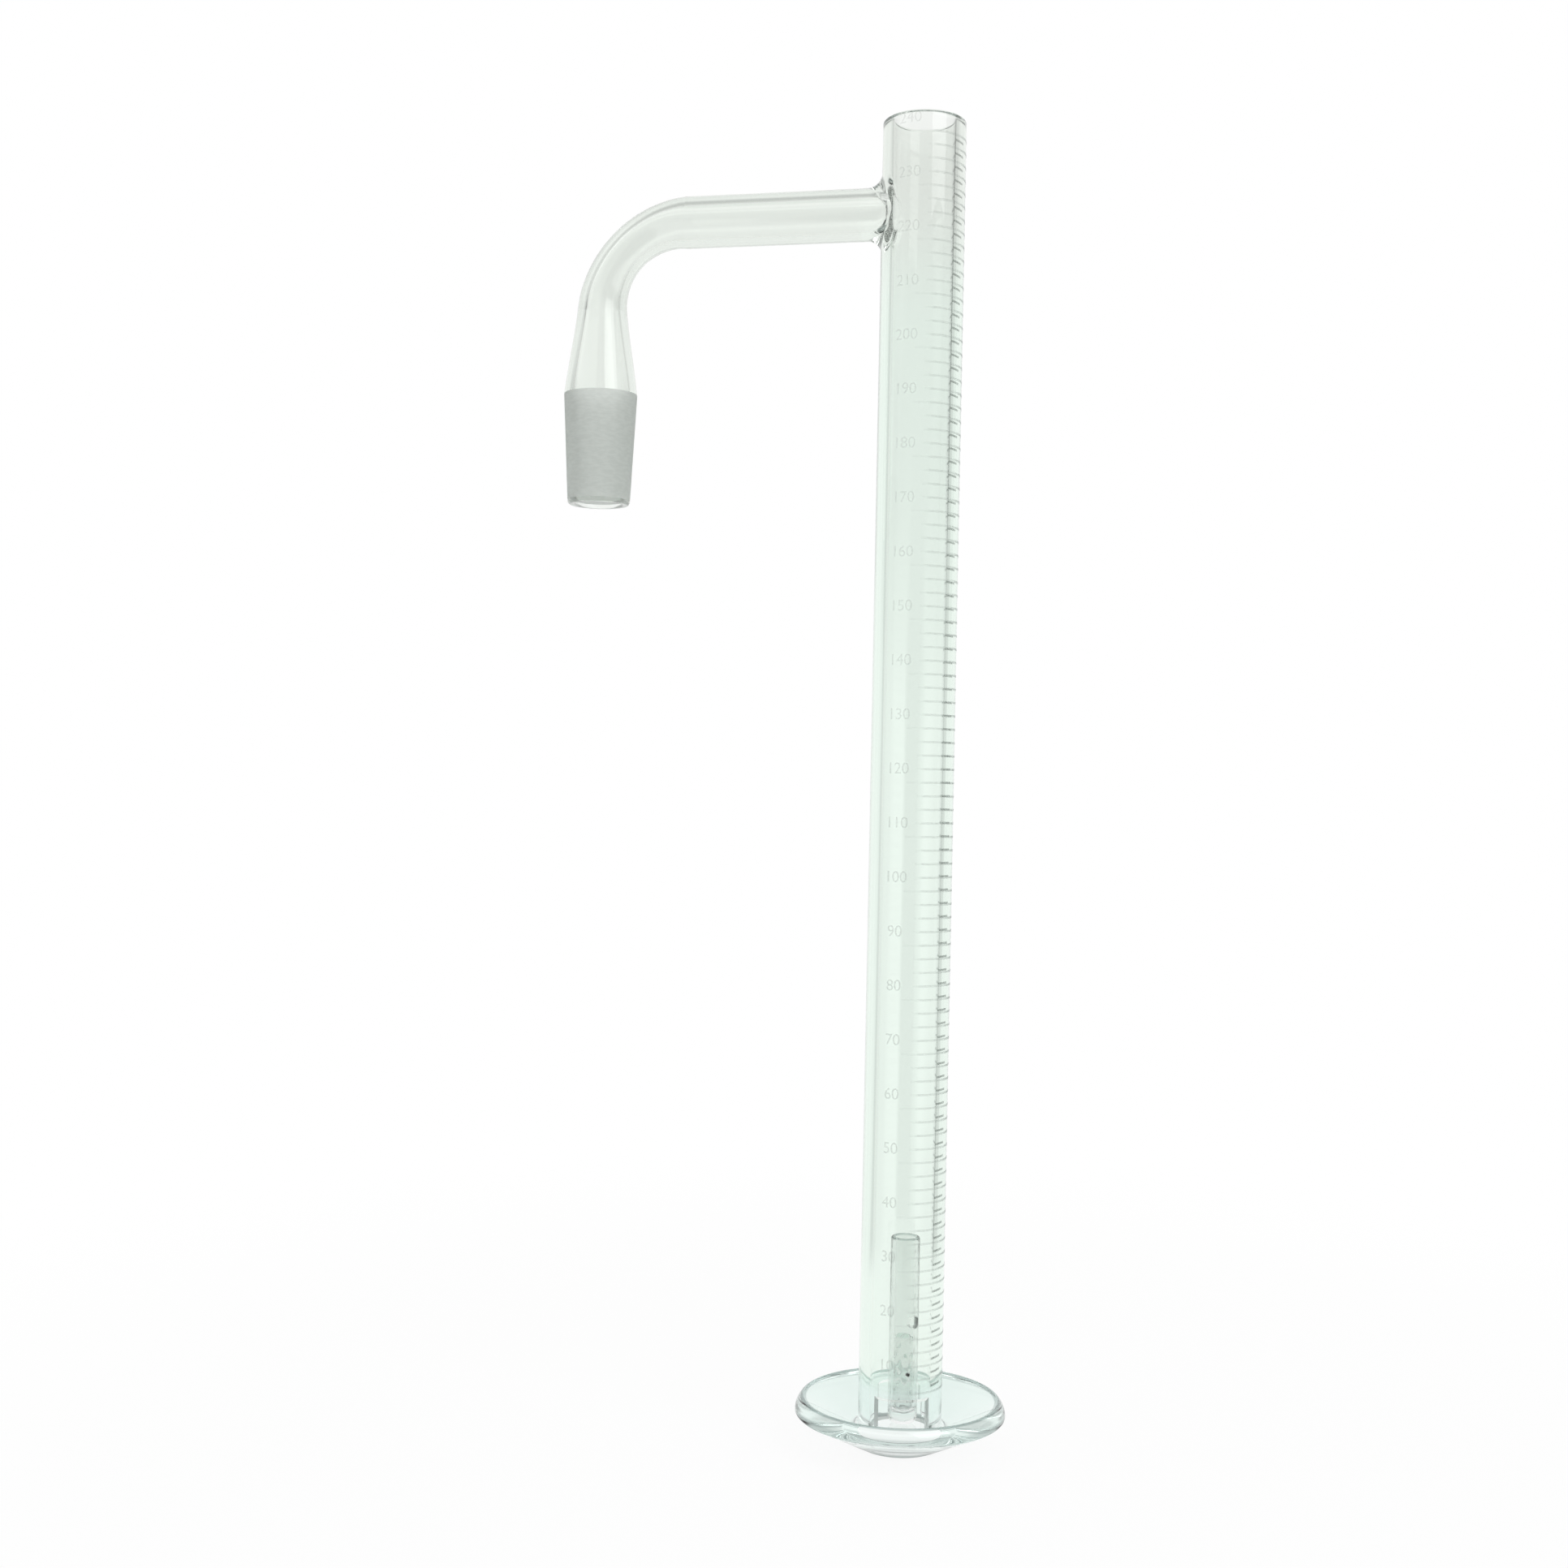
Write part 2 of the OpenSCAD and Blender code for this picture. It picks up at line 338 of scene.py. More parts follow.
# Column
# A thick-walled drawn tube with a polished rim. A slot is sawn in its base before and behind, and
# the stub of the side arm is melted into it near the top with a soft fillet. Its two legs are
# melted to the dish, so the dish gets its finish here too.
column_wall = 2.2 * mm
column_bore = column_r - column_wall
rim_round = 0.5 * mm
bead = 0.7 * mm
slot_width = 9 * mm
slot_height = 6.3 * mm
slot_turn = math.radians(12)
seat = 0.3 * mm
rim = column_high[2]
arm_low, arm_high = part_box("side_arm")
arm_z = (arm_low[2] + arm_high[2]) / 2
arm_r = (arm_high[2] - arm_low[2]) / 2
arm_wall = 1.7 * mm
arm_bore = arm_r - arm_wall
weld_r = 3 * mm
weld_rows = 12
weld_sink = 0.03 * mm
horn_close = 0.7
stub_run = 1 * mm
stub_end = -column_r - weld_r - stub_run
past = 2 * mm
bore_softness = 0.05
contact_ior = 1.02
base_band = (11 * mm, 14 * mm)
plain_band = (213 * mm, 242 * mm)
ring_heights = [z * mm for z in range(10, 250, 10)]
column_outline = [(column_r + bead, floor_level - seat), (column_r + bead, floor_level)]
column_outline += arc(column_r + bead, floor_level + bead, bead, 270, 180, 6)[1:]
column_outline += [(column_r, z) for z in ring_heights]
column_outline += arc(column_r - rim_round, rim - rim_round, rim_round, 0, 90)
column = turned("column_glass", column_outline)


def weld_point(turn, share):
    """A point of the fillet that a ball leaves as it rolls between arm and column."""
    reach = arm_r + weld_r
    ball = Vector((0, reach * math.sin(turn), arm_z + reach * math.cos(turn)))
    ball.x = -math.sqrt((column_r + weld_r) ** 2 - ball.y**2)
    to_arm = Vector((0, -math.sin(turn), -math.cos(turn)))
    to_column = Vector((-ball.x, -ball.y, 0)).normalized()
    return ball + to_arm.slerp(to_column, share) * (weld_r + weld_sink * share)


def weld_horn():
    """The stub of the arm, flared on to the column and closed inside it."""
    step = 1 * mm
    horn = start_ring("weld_horn", arm_r, (0, 0, arm_z), (0, math.pi / 2, 0))
    for row in range(weld_rows + 2):
        bpy.ops.mesh.extrude_edges_move(TRANSFORM_OT_translate={"value": (step, 0, 0)})
    bpy.ops.object.mode_set(mode="OBJECT")
    for v in horn.data.vertices:
        row = round(v.co.x / step)
        turn = math.atan2(v.co.y, v.co.z - arm_z)
        if row == 0:
            v.co.x = stub_end
        else:
            v.co = weld_point(turn, min((row - 1) / weld_rows, 1))
        if row == weld_rows + 2:
            v.co.x *= horn_close
            v.co.y *= horn_close
    bpy.ops.object.mode_set(mode="EDIT")
    return close_up(horn, False)


def rod_along_x(name, radius, start, end):
    bpy.ops.object.select_all(action="DESELECT")
    bpy.ops.mesh.primitive_cylinder_add(
        vertices=sides, radius=radius, depth=end - start, location=((start + end) / 2, 0, arm_z),
        rotation=(0, math.pi / 2, 0)
    )
    rod = bpy.context.object
    rod.name = name
    bpy.ops.object.transform_apply()
    return rod


cut(column, weld_horn(), "UNION")
bore_outline = [(column_bore, floor_level - past), (column_bore, rim - rim_round)]
bore_outline += arc(column_bore + rim_round, rim - rim_round, rim_round, 180, 90)[1:]
bore_outline += [(column_bore + rim_round, rim + past)]
cut(column, turned("bore", bore_outline))
cut(column, rod_along_x("arm_bore", arm_bore, stub_end - past, 0))
bpy.ops.object.select_all(action="DESELECT")
bpy.ops.mesh.primitive_cube_add(size=1, location=(0, 0, floor_level), rotation=(0, 0, slot_turn))
slot = bpy.context.object
slot.scale = (slot_width, 4 * column_r, 2 * slot_height)
bpy.ops.object.transform_apply()
cut(column, slot)
bpy.ops.object.select_all(action="DESELECT")
column.select_set(True)
bpy.ops.object.shade_smooth_by_angle(angle=smooth_angle)
bpy.ops.object.duplicate()
cut(dish, bpy.context.object)


def column_melts(centre, normal):
    return centre.x < stub_end + near or centre.z < floor_level - near


def dish_melts(centre, normal):
    """The faces of the pockets in which the legs are melted."""
    from_axis = math.hypot(centre.x, centre.y)
    under_column = column_bore - near < from_axis < column_r + bead + near
    return under_column and floor_level - seat - near < centre.z < floor_level - near


def sawn_glass():
    material, shader, place = new_finish("sawn_glass")
    shader.inputs["IOR"].default_value = glass_ior
    shader.inputs["Transmission Weight"].default_value = 0.8
    shader.inputs["Base Color"].default_value = (0.82, 0.87, 0.85, 1)
    feed(shader, "Roughness", 0.35 + noise(place, 900) * 0.3)
    return material


def column_axis(centre):
    """Nearest point of the column's axis, or of the arm's axis in the stub."""
    if centre.x < -column_r:
        return Vector((centre.x, 0, arm_z))
    return Vector((0, 0, centre.z))


def column_tints(place):
    """Green along the tube, plainer near the rim and paler in the base."""
    height = height_of(place)
    upper = blend(height.between(*plain_band), green_tint, plain_tint)
    return blend(height.between(*base_band), base_tint, upper)


bore_glass = clear_glass("bore_glass", along_z, no_tint, softness=bore_softness)
column_glass = tinted(clear_glass("column_glass", along_z, green_tint), column_tints)
coat(column, column_glass, column_melts, bore_glass, column_axis)
column.data.materials.append(sawn_glass())
across = Vector((math.cos(slot_turn), math.sin(slot_turn), 0))
for face in column.data.polygons:
    beside_slot = abs(abs(face.center.dot(across)) - slot_width / 2) < near
    sawn = beside_slot and abs(face.normal.dot(across)) > 0.99
    if sawn and floor_level < face.center.z < floor_level + slot_height:
        face.material_index = fourth_face
contact = clear_glass("foot_contact", nowhere, no_tint)
contact.node_tree.nodes["Principled BSDF"].inputs["IOR"].default_value = contact_ior
# The dish's green tint, with painted shade lines at the lip, the widest ring and the foot.
coat(dish, tinted(clear_glass("dish_glass", nowhere, dish_tint), dish_tint_and_painted_shade), dish_melts)
dish.data.materials.append(contact)
for face in dish.data.polygons:
    if face.center.z < near and math.hypot(face.center.x, face.center.y) < contact_r:
        face.material_index = fourth_face
bpy.ops.object.select_all(action="DESELECT")
dish.select_set(True)
bpy.context.view_layer.objects.active = dish
bpy.ops.object.shade_smooth_by_angle(angle=smooth_angle)
place_on(column, "vessel", "clear_glass", "column_tube", "base_weld", "arm_weld")
place_on(dish, "vessel", "clear_glass", "dish")

# Side arm and elbow
# A thinner drawn tube, melted to the column's stub, that is bent down in the flame. The bend draws
# the tube narrower towards its lower end.
bend_start = arm_low[0]
joint_low, joint_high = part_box("ground_joint")
joint_x = (joint_low[0] + joint_high[0]) / 2
bend_r = bend_start - joint_x
neck_z = arm_z - bend_r
neck_r = 4.95 * mm
bend_squeeze = 0.7 * mm
bend_steps = 24
arm_bore_softness = 0.15


def swept(name, first, steps):
    """Sweep a ring out along the steps and back along its bore. A step moves, turns and grows."""
    centre, radius = first
    piece = start_ring(name, radius, centre, (0, math.pi / 2, 0))
    for move, turn, grow, middle in steps:
        bpy.ops.mesh.extrude_edges_move(TRANSFORM_OT_translate={"value": move})
        if turn:
            pivot = (bend_start, 0, neck_z)
            bpy.ops.transform.rotate(value=turn, orient_axis="Y", center_override=pivot)
        bpy.ops.transform.resize(value=(grow, grow, grow), center_override=middle)
    return close_up(piece, True)


arm_steps = [
    ((bend_start - stub_end, 0, 0), 0, 1, (bend_start, 0, arm_z)),
    ((0, 0, 0), 0, arm_bore / arm_r, (bend_start, 0, arm_z)),
    ((stub_end - bend_start, 0, 0), 0, 1, (stub_end, 0, arm_z)),
]
arm = swept("side_arm_glass", ((stub_end, 0, arm_z), arm_r), arm_steps)


def arm_melts(centre, normal):
    return abs(normal.x) > 0.9


def arm_axis(centre):
    return Vector((centre.x, 0, arm_z))


arm_glass = clear_glass("arm_glass", along_x, plain_tint)
arm_bore_glass = clear_glass("arm_bore_glass", along_x, no_tint, softness=arm_bore_softness)
coat(arm, arm_glass, arm_melts, arm_bore_glass, arm_axis)
place_on(arm, "vessel", "clear_glass", "side_arm")


def bend_middle(share):
    turn = share * math.pi / 2
    return (bend_start - bend_r * math.sin(turn), 0, neck_z + bend_r * math.cos(turn))


def bend_radius(share):
    return arm_r + (neck_r - arm_r) * share - bend_squeeze * math.sin(math.pi * share)


elbow_steps = []
shares = [i / bend_steps for i in range(bend_steps + 1)]
for old, new in zip(shares, shares[1:]):
    step = (new - old) * math.pi / 2
    elbow_steps.append(((0, 0, 0), step, bend_radius(new) / bend_radius(old), bend_middle(new)))
elbow_steps.append(((0, 0, 0), 0, (neck_r - arm_wall) / neck_r, bend_middle(1)))
for old, new in zip(reversed(shares), reversed(shares[:-1])):
    step = (new - old) * math.pi / 2
    grow = (bend_radius(new) - arm_wall) / (bend_radius(old) - arm_wall)
    elbow_steps.append(((0, 0, 0), step, grow, bend_middle(new)))
elbow = swept("elbow_glass", ((bend_start, 0, arm_z), arm_r), elbow_steps)


def bend_axis(centre):
    pivot = Vector((bend_start, 0, neck_z))
    flat = Vector((centre.x, 0, centre.z)) - pivot
    return pivot + flat.normalized() * bend_r


def elbow_melts(centre, normal):
    return centre.x > bend_start - near or centre.z < neck_z + near


coat(elbow, arm_glass, elbow_melts, arm_bore_glass, bend_axis)
place_on(elbow, "vessel", "clear_glass", "elbow")

# Shank
# The neck of the bend opens into a flared tube of the same clear glass. It is blown out in the
# flame and melted to the ground joint, which it carries.
joint_top = joint_high[2]
joint_r = (joint_high[0] - joint_low[0]) / 2
joint_wall = 1.6 * mm
shank_steps = 16
flare_softness = 0.25


def shank_radius(share):
    """Radius from the neck down to the joint, soft at both ends."""
    soft = 3 * share**2 - 2 * share**3
    return neck_r + (joint_r - neck_r) * ((1 - flare_softness) * share + flare_softness * soft)


shank_outline = []
for i in range(shank_steps + 1):
    share = i / shank_steps
    shank_outline.append((shank_radius(share), neck_z + (joint_top - neck_z) * share))
for i in range(shank_steps, -1, -1):
    share = i / shank_steps
    wall = arm_wall + (joint_wall - arm_wall) * share
    shank_outline.append((shank_radius(share) - wall, neck_z + (joint_top - neck_z) * share))
shank = turned("joint_shank_glass", shank_outline, True, joint_x)


def joint_axis(centre):
    return Vector((joint_x, 0, centre.z))


def shank_melts(centre, normal):
    return abs(normal.z) > 0.99


coat(shank, clear_glass("shank_glass", along_z, plain_tint), shank_melts, bore_glass, joint_axis)
place_on(shank, "vessel", "clear_glass", "joint_shank")

# Ground joint
# A male cone with a taper of one in ten, ground matt outside so that it seals in its socket. The
# bore and the fire-polished tip stay clear.
tip = joint_low[2]
tip_round = 0.6 * mm
clear_tip = 0.9 * mm
taper = 1 / 20
tip_r = joint_r - (joint_top - tip) * taper
joint_outline = [(joint_r - joint_wall, joint_top)]
joint_outline += arc(tip_r - joint_wall + tip_round, tip + tip_round, tip_round, 180, 270)
joint_outline += arc(tip_r - tip_round, tip + tip_round, tip_round, -90, 0)
joint_outline += [(tip_r + clear_tip * taper, tip + clear_tip), (joint_r, joint_top)]
joint = turned("ground_joint_glass", joint_outline, True, joint_x)


def ground_glass():
    material, shader, place = new_finish("ground_glass")
    shader.inputs["IOR"].default_value = glass_ior
    shader.inputs["Transmission Weight"].default_value = 0.55
    scuff = noise(place, 700, (1, 1, 3), 5.0).between(0.35, 0.65)
    feed(shader, "Base Color", blend(scuff, (0.65, 0.69, 0.655, 1), (0.71, 0.75, 0.715, 1)))
    grain = noise(place, 5200, nowhere, 4.0)
    cloud = noise(place, 260, nowhere, 3.0)
    feed(shader, "Roughness", 0.62 + cloud * 0.2)
    bump = {"Height": grain, "Strength": 0.35, "Distance": 0.05 * mm}
    feed(shader, "Normal", place.add("ShaderNodeBump", {}, bump))
    return material


def joint_melts(centre, normal):
    return normal.z > 0.99


coat(joint, ground_glass(), joint_melts, bore_glass, joint_axis)
joint.data.materials.append(clear_glass("tip_glass", nowhere, plain_tint))
for face in joint.data.polygons:
    if face.material_index == skin_face and face.center.z < tip + clear_tip:
        face.material_index = fourth_face
place_on(joint, "vessel", "frosted_glass", "ground_joint")

# Scale
# Fine matt lines fired on to the outside of the column, four to each numbered step. They run from
# the front round the right-hand side, and are fainter at the front and towards the top.
line_low, line_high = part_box("scale_unit_ticks")
line_width = 0.4 * mm
line_depth = 0.03 * mm
unit_lines = 24
unit_pitch = (line_high[2] - line_low[2] - line_width) / (unit_lines - 1)
first_unit = line_low[2] + line_width / 2
line_start = -76
line_lead = 14
line_arc = 100
line_step = 2
fade_way = Vector((0.143, -0.99, 0))


def mark_finish(name, strength, top_strength, straight_on_fade):
    material, shader, place = new_finish(name)
    shader.inputs["Roughness"].default_value = 0.6
    shader.inputs["Base Color"].default_value = (0.4, 0.44, 0.42, 1)
    grain = noise(place, 3000, nowhere, 2.0)
    # Fainter towards the front, along a fixed direction, and towards the top.
    front = vector_math("DOT_PRODUCT", place, fade_way / column_r, "Value")
    front_fade = 1 - front.between(0.15, 0.75) * 0.62 - front.between(0.95, 0.99) * straight_on_fade
    top_fade = strength + height_of(place).between(0.09, 0.18) * (top_strength - strength)
    feed(shader, "Alpha", front_fade * top_fade * (0.7 + grain.between(0.3, 0.7) * 0.6))
    return material


def line_set(name, heights, start, sweep):
    """One closed strip for each height, bent round the column."""
    bpy.ops.object.select_all(action="DESELECT")
    bpy.ops.mesh.primitive_cube_add(size=1)
    strip = bpy.context.object
    strip.name = name
    strip.scale = (1, 2 * line_depth, line_width)
    bpy.ops.object.transform_apply()
    bpy.ops.object.mode_set(mode="EDIT")
    bpy.ops.mesh.select_all(action="DESELECT")
    bpy.ops.mesh.select_mode(type="EDGE")
    bpy.ops.object.mode_set(mode="OBJECT")
    for edge in strip.data.edges:
        ends = [strip.data.vertices[i].co for i in edge.vertices]
        edge.select = abs(ends[0].x - ends[1].x) > 0.5
    bpy.ops.object.mode_set(mode="EDIT")
    bpy.ops.mesh.subdivide(number_cuts=round(sweep / line_step))
    bpy.ops.object.mode_set(mode="OBJECT")
    shape = [v.co.copy() for v in strip.data.vertices]
    for v, old in zip(strip.data.vertices, shape):
        turn = math.radians(start + sweep * (old.x + 0.5))
        r = column_r + old.y
        v.co = (r * math.cos(turn), r * math.sin(turn), old.z)
    copies = []
    for height in heights:
        copy = strip.copy()
        copy.data = strip.data.copy()
        copy.location.z = height
        bpy.context.collection.objects.link(copy)
        copies.append(copy)
    bpy.data.objects.remove(strip)
    bpy.ops.object.select_all(action="DESELECT")
    for copy in copies:
        copy.select_set(True)
    bpy.context.view_layer.objects.active = copies[0]
    bpy.ops.object.join()
    bpy.ops.object.transform_apply()
    joined = bpy.context.object
    joined.name = name
    bpy.ops.object.mode_set(mode="EDIT")
    bpy.ops.mesh.select_all(action="SELECT")
    bpy.ops.mesh.normals_make_consistent(inside=False)
    bpy.ops.object.mode_set(mode="OBJECT")
    return joined


mark = mark_finish("fired_lines", 0.36, 0.32, 0.3)
faint_mark = mark_finish("fired_numerals", 0.4, 0.2, 0)
unit_heights = [first_unit + i * unit_pitch for i in range(unit_lines)]
quarter_heights = [z - k * unit_pitch / 4 for z in unit_heights for k in (1, 2, 3)]
quarter_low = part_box("scale_quarter_ticks")[0]
quarter_heights = [z for z in quarter_heights if z > quarter_low[2]]
units = line_set("unit_lines", unit_heights, line_start - line_lead, line_arc + line_lead)
quarters = line_set("quarter_lines", quarter_heights, line_start, line_arc)
for lines, node in ((units, "scale_unit_ticks"), (quarters, "scale_quarter_ticks")):
    lines.data.materials.append(mark)
    place_on(lines, "vessel", "scale_mark", node)

# Numerals
# Plain tens from the foot to the top, one beside each numbered line. They are fired on to the
# glass like the lines, and fainter towards the top.
numeral_height = 2.1 * mm
height_per_size = 0.7
numeral_lift = 2.55 * mm
numeral_turn = math.radians(-12)
numerals = []
for i, z in enumerate(unit_heights):
    bpy.ops.object.select_all(action="DESELECT")
    bpy.ops.object.text_add()
    numeral = bpy.context.object
    numeral.data.body = str(10 * (i + 1))
    numeral.data.align_x = "CENTER"
    numeral.data.align_y = "CENTER"
    numeral.data.size = numeral_height / height_per_size
    numeral.data.extrude = line_depth
    bpy.ops.object.convert(target="MESH")
    for v in numeral.data.vertices:
        turn = numeral_turn + v.co.x / column_r
        r = column_r + v.co.z
        v.co = (r * math.sin(turn), -r * math.cos(turn), z + numeral_lift + v.co.y)
    numerals.append(numeral)
bpy.ops.object.select_all(action="DESELECT")
for numeral in numerals:
    numeral.select_set(True)
bpy.context.view_layer.objects.active = numerals[0]
bpy.ops.object.join()
numeral_set = bpy.context.object
numeral_set.name = "scale_numerals"
numeral_set.data.materials.clear()
numeral_set.data.materials.append(faint_mark)
place_on(numeral_set, "vessel", "scale_mark")

# Pillar
# A small loose glass tube that stands in the column's foot, closed below and open above, with a
# side port and a pinhole.
pillar_low, pillar_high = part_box("pillar_tube")
pillar_x = (pillar_low[0] + pillar_high[0]) / 2
pillar_r = (pillar_high[0] - pillar_low[0]) / 2
pillar_wall = 0.85 * mm
pillar_end = 2.4 * mm
end_round = 1.6 * mm
end_middle_r = 0.6 * mm
inner_round = 1.2 * mm
inner_middle_r = 0.4 * mm
port_height = 20 * mm
port_width = 2.4 * mm
port_turn = math.radians(-35)
port_ior = 1.2
pinhole_height = 10.1 * mm
pinhole_width = 0.6 * mm
pinhole_turn = math.radians(-62)
pinhole_floor = 0.1 * mm
hole_reach = 1.3 * mm
# Strength of the painted shade along the pillar's rim.
rim_painted_shade = 0.7
pillar_tint = (0.915, 0.925, 0.92, 1)
lip = pillar_wall / 2
pillar_bore = pillar_r - pillar_wall
pillar_gap = 0.02 * mm
pillar_foot = pillar_low[2] + pillar_gap
pillar_outline = [(end_middle_r, pillar_foot)]
pillar_outline += arc(pillar_r - end_round, pillar_foot + end_round, end_round, -90, 0)
pillar_outline += arc(pillar_r - lip, pillar_high[2] - lip, lip, 0, 180)
pillar_outline += arc(
    pillar_bore - inner_round, pillar_foot + pillar_end + inner_round, inner_round, 0, -90
)
pillar_outline += [(inner_middle_r, pillar_foot + pillar_end)]
pillar = turned("pillar_glass", pillar_outline, False, pillar_x)


def drill(piece, height, diameter, turn, start):
    bpy.ops.object.select_all(action="DESELECT")
    reach = 2 * pillar_r
    direction = Vector((math.cos(turn), math.sin(turn), 0))
    bpy.ops.mesh.primitive_cylinder_add(
        vertices=48, radius=diameter / 2, depth=reach,
        location=Vector((pillar_x, 0, pillar_foot + height)) + direction * (start + reach / 2),
        rotation=(0, math.pi / 2, turn)
    )
    tool = bpy.context.object
    bpy.ops.object.transform_apply()
    cut(piece, tool)


drill(pillar, port_height, port_width, port_turn, 0)
drill(pillar, pinhole_height, pinhole_width, pinhole_turn, pillar_bore + pinhole_floor)
bpy.ops.object.select_all(action="DESELECT")
pillar.select_set(True)
bpy.ops.object.shade_smooth_by_angle(angle=smooth_angle)


def hazy_glass(name, tint, haze_top, roughness, clear_share, ior):
    material, shader, place = new_finish(name)
    shader.inputs["IOR"].default_value = ior
    shader.inputs["Transmission Weight"].default_value = clear_share
    shader.inputs["Base Color"].default_value = tint
    cloud = noise(place, 500, nowhere, 3.0)
    haze = (1 - height_of(place).between(haze_top - 2 * mm, haze_top + 2 * mm)) * (0.5 + cloud)
    feed(shader, "Roughness", haze * roughness)
    bump = {"Height": cloud, "Strength": 0.3, "Distance": 0.2 * mm}
    feed(shader, "Normal", place.add("ShaderNodeBump", {}, bump))
    return material


def pillar_tint_and_painted_rim_shade(place):
    """Painted shade: darker along the rim, which is seen edge-on."""
    edge = height_of(place).between(pillar_high[2] - 0.4 * mm, pillar_high[2] - 0.2 * mm) * rim_painted_shade
    return blend(edge, pillar_tint, painted_shade_tint)


def no_melts(centre, normal):
    return False


pillar_glass = hazy_glass(
    "pillar_glass", pillar_tint, haze_top=32 * mm, roughness=0.12, clear_share=1, ior=glass_ior
)
coat(pillar, tinted(pillar_glass, pillar_tint_and_painted_rim_shade), no_melts)
# The pinhole's walls are painted near black: painted shade in the small hole, with a fine grain.
hole_shade, hole_shade_shader, hole_shade_place = new_finish("painted_hole_shade")
hole_shade_shader.inputs["Roughness"].default_value = 0.6
hole_shade_grain = noise(hole_shade_place, 4000).between(0.3, 0.7)
feed(hole_shade_shader, "Base Color", blend(hole_shade_grain, (0.03, 0.035, 0.033, 1), (0.1, 0.11, 0.1, 1)))
port_glass = clear_glass("port_glass", nowhere, no_tint)
port_glass.node_tree.nodes["Principled BSDF"].inputs["IOR"].default_value = port_ior
pillar.data.materials.append(port_glass)
pillar.data.materials.append(hole_shade)
for face in pillar.data.polygons:
    outward = Vector((face.center.x - pillar_x, face.center.y, 0))
    in_wall = pillar_bore + near < outward.length < pillar_r - near
    if in_wall:
        for height, finish in ((port_height, fourth_face), (pinhole_height, fifth_face)):
            if abs(face.center.z - pillar_foot - height) < hole_reach:
                face.material_index = finish
place_on(pillar, "pillar", "pillar_glass", "pillar_tube")

# Pillar core
# A short glass rod with five flutes, twisted while it was soft and a little matt on its surface.
# It stands on the pillar's closed end and is fixed there.
core_low, core_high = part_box("pillar_core")
core_r = (core_high[0] - core_low[0]) / 2
flutes = 5
flute_depth = 0.35 * mm
core_twist = math.radians(300)
core_steps = 48
core_sides = 60
core_tint = (0.96, 0.97, 0.965, 1)
bpy.ops.object.select_all(action="DESELECT")
core_foot = (pillar_x, 0, core_low[2])
bpy.ops.mesh.primitive_circle_add(vertices=core_sides, radius=core_r, location=core_foot)
core = bpy.context.object
core.name = "pillar_core_glass"
bpy.ops.object.transform_apply()
for v in core.data.vertices:
    turn = math.atan2(v.co.y, v.co.x - pillar_x)
    r = core_r - flute_depth * (1 - math.cos(flutes * turn)) / 2
    v.co.x = pillar_x + r * math.cos(turn)
    v.co.y = r * math.sin(turn)
bpy.ops.object.mode_set(mode="EDIT")
bpy.ops.mesh.select_all(action="SELECT")
rise = (core_high[2] - core_low[2]) / core_steps
for step in range(core_steps):
    bpy.ops.mesh.extrude_edges_move(TRANSFORM_OT_translate={"value": (0, 0, rise)})
    bpy.ops.transform.rotate(
        value=core_twist / core_steps, orient_axis="Z", center_override=(pillar_x, 0, 0)
    )
close_up(core, False)
core_glass = hazy_glass(
    "core_glass", core_tint, haze_top=60 * mm, roughness=0.06, clear_share=0.97, ior=1.2
)
core.data.materials.append(core_glass)
place_on(core, "pillar", "hazy_glass", "pillar_core")

# Stage
# A white floor and white surroundings, with soft light from above and both sides. Reflections in
# the glass also show a dim room and a soft box on the side that the picture is taken from.
bpy.ops.object.select_all(action="DESELECT")
bpy.ops.mesh.primitive_plane_add(size=6, location=(0, 0, -0.1 * mm))
floor = bpy.context.object
floor.name = "floor"
floor_finish, floor_shader, floor_place = new_finish("floor_white")
floor_shader.inputs["Base Color"].default_value = (0.9, 0.9, 0.9, 1)
floor_shader.inputs["Roughness"].default_value = 0.9
floor.data.materials.append(floor_finish)


def ray_kind(tree, *names):
    """1 for the kinds of ray that are named, else 0."""
    path = tree.nodes.new("ShaderNodeLightPath")
    total = Wire(tree, path.outputs[names[0]])
    for name in names[1:]:
        total = total.math("MAXIMUM", total, Wire(tree, path.outputs[name]))
    return total


def mirrored(tree):
    """1 for a ray that has been reflected on its way, else 0."""
    path = tree.nodes.new("ShaderNodeLightPath")
    depth = Wire(tree, path.outputs["Glossy Depth"])
    return depth.math("GREATER_THAN", depth, 0.5)


def surroundings(direction):
    """How bright a reflection is: white card all round, but for the dim room and the soft box."""
    rise = height_of(direction)
    level_way = vector_math("NORMALIZE", vector_math("MULTIPLY", direction, (1, 1, 0)))
    to_camera = vector_math("DOT_PRODUCT", direction, back, "Value")
    facing = vector_math("DOT_PRODUCT", level_way, back, "Value")
    stripe = facing.between(0.875, 0.905)
    flank = facing.between(-0.5, -0.35) * (1 - facing.between(0.1, 0.3)) * 0.45
    room = facing.between(-0.5, -0.35) * rise.between(0.03, 0.1)
    dim = rise.math("MAXIMUM", rise.math("MAXIMUM", stripe, flank), room) * (1 - rise.between(0.3, 0.4))
    card_edge = (0 - to_camera).between(0.2, 0.35) * (1 - (0 - to_camera).between(0.6, 0.75))
    soft_box = rise.between(0.54, 0.6) * (1 - rise.between(0.7, 0.76)) * facing.between(0.4, 0.6)
    return 1 + soft_box * 1.5 - dim * 0.95 - card_edge * 0.22 - rise.between(0.5, 0.9) * 0.15


tree = floor_finish.node_tree
beside = vector_math("NORMALIZE", vector_math("SUBTRACT", floor_place, (0, 0, 0.06)))
away = vector_math("LENGTH", floor_place, None, "Value")
bent = ray_kind(tree, "Is Glossy Ray", "Is Transmission Ray")
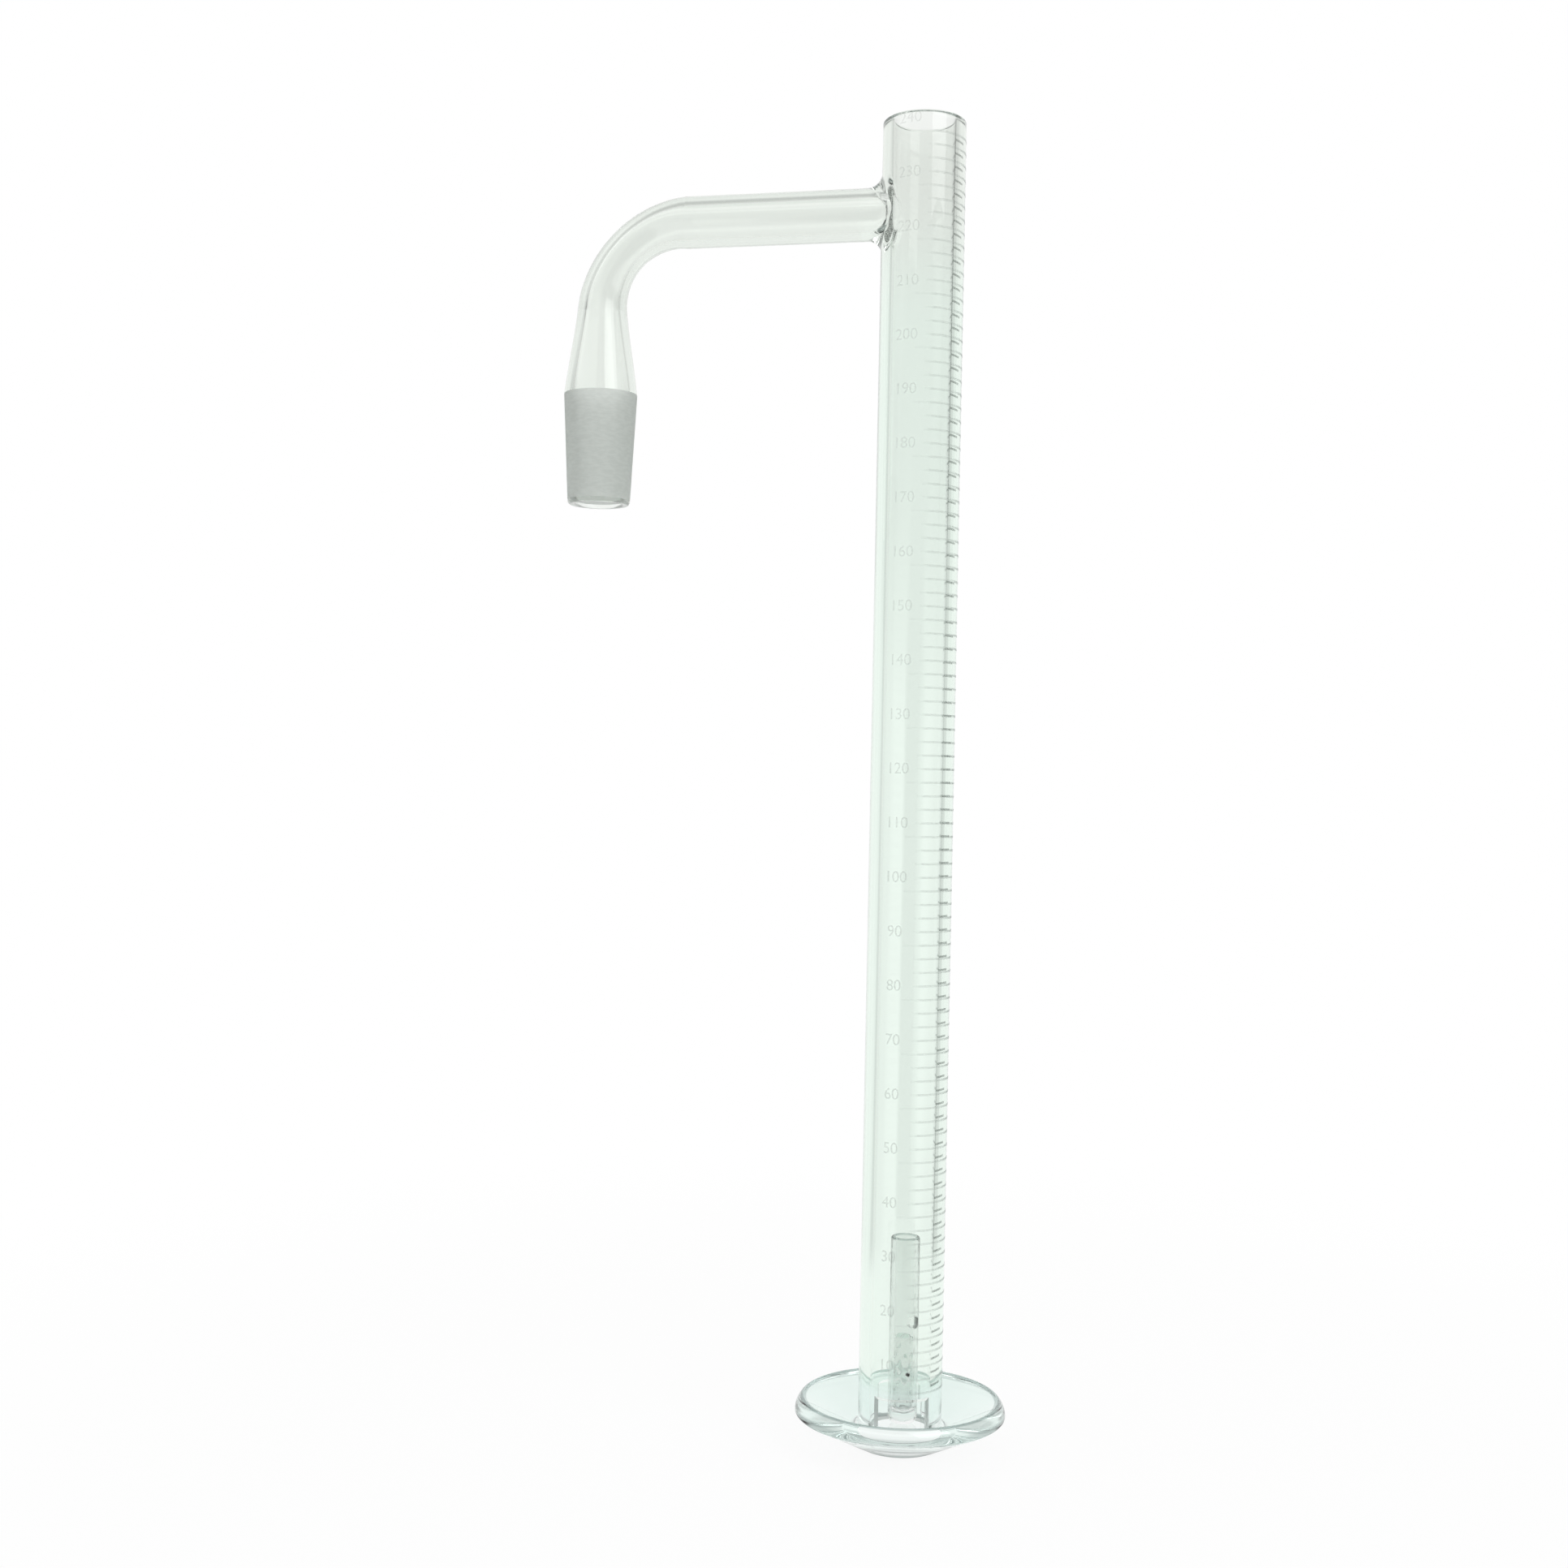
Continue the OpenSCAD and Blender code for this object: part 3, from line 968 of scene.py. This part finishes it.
# Painted contact shadow: a darker ring on the floor round the dish's foot, seen only through the glass and
# in reflections.
painted_contact_shadow = away.between(contact_r, 6 * mm) * (1 - away.between(7.5 * mm, 11 * mm))
room = mirrored(tree) * away.between(0.12, 0.17) * (1 - surroundings(beside))
level = 1 - bent * (room + painted_contact_shadow * 0.6)
glow = level.add("ShaderNodeEmission", {}, {"Strength": level})
seen = ray_kind(tree, "Is Camera Ray", "Is Glossy Ray", "Is Transmission Ray")
share = seen * (0.92 + away.between(0.1, 0.3) * 0.08)
mixed = share.add(
    "ShaderNodeMixShader", {}, {0: share, 1: Wire(tree, floor_shader.outputs[0]), 2: glow}
)
tree.links.new(mixed.socket, tree.nodes["Material Output"].inputs["Surface"])

world = bpy.data.worlds.new("white_room")
bpy.context.scene.world = world
world.use_nodes = True
sky = world.node_tree
backdrop = sky.nodes["Background"]
backdrop.inputs["Color"].default_value = (1, 1, 1, 1)
aim = Wire(sky).add("ShaderNodeTexCoord", {}, {}, out="Generated")
bent = ray_kind(sky, "Is Glossy Ray", "Is Transmission Ray")
seen = ray_kind(sky, "Is Camera Ray")
level = seen + bent * (1 - mirrored(sky) * (1 - surroundings(aim))) + (1 - seen) * (1 - bent) * 0.75
sky.links.new(level.socket, backdrop.inputs["Strength"])

lamp_target = Vector((0, 0, 0.12))


def lamp(name, place, size, power):
    bpy.ops.object.select_all(action="DESELECT")
    bpy.ops.object.light_add(type="AREA", location=place)
    light = bpy.context.object
    light.name = name
    light.data.size = size
    light.data.energy = power
    aim = lamp_target - Vector(place)
    light.rotation_euler = aim.to_track_quat("-Z", "Y").to_euler()


lamp("key", (0.7, -0.6, 0.9), 0.8, 4.4)
lamp("fill", (-0.8, -0.4, 0.7), 0.8, 0.9)
bpy.context.scene.view_settings.view_transform = "Standard"
bounces = 48
bpy.context.scene.cycles.transparent_max_bounces = bounces
bpy.context.scene.cycles.transmission_bounces = bounces
bpy.context.scene.cycles.glossy_bounces = bounces
bpy.context.scene.cycles.max_bounces = bounces
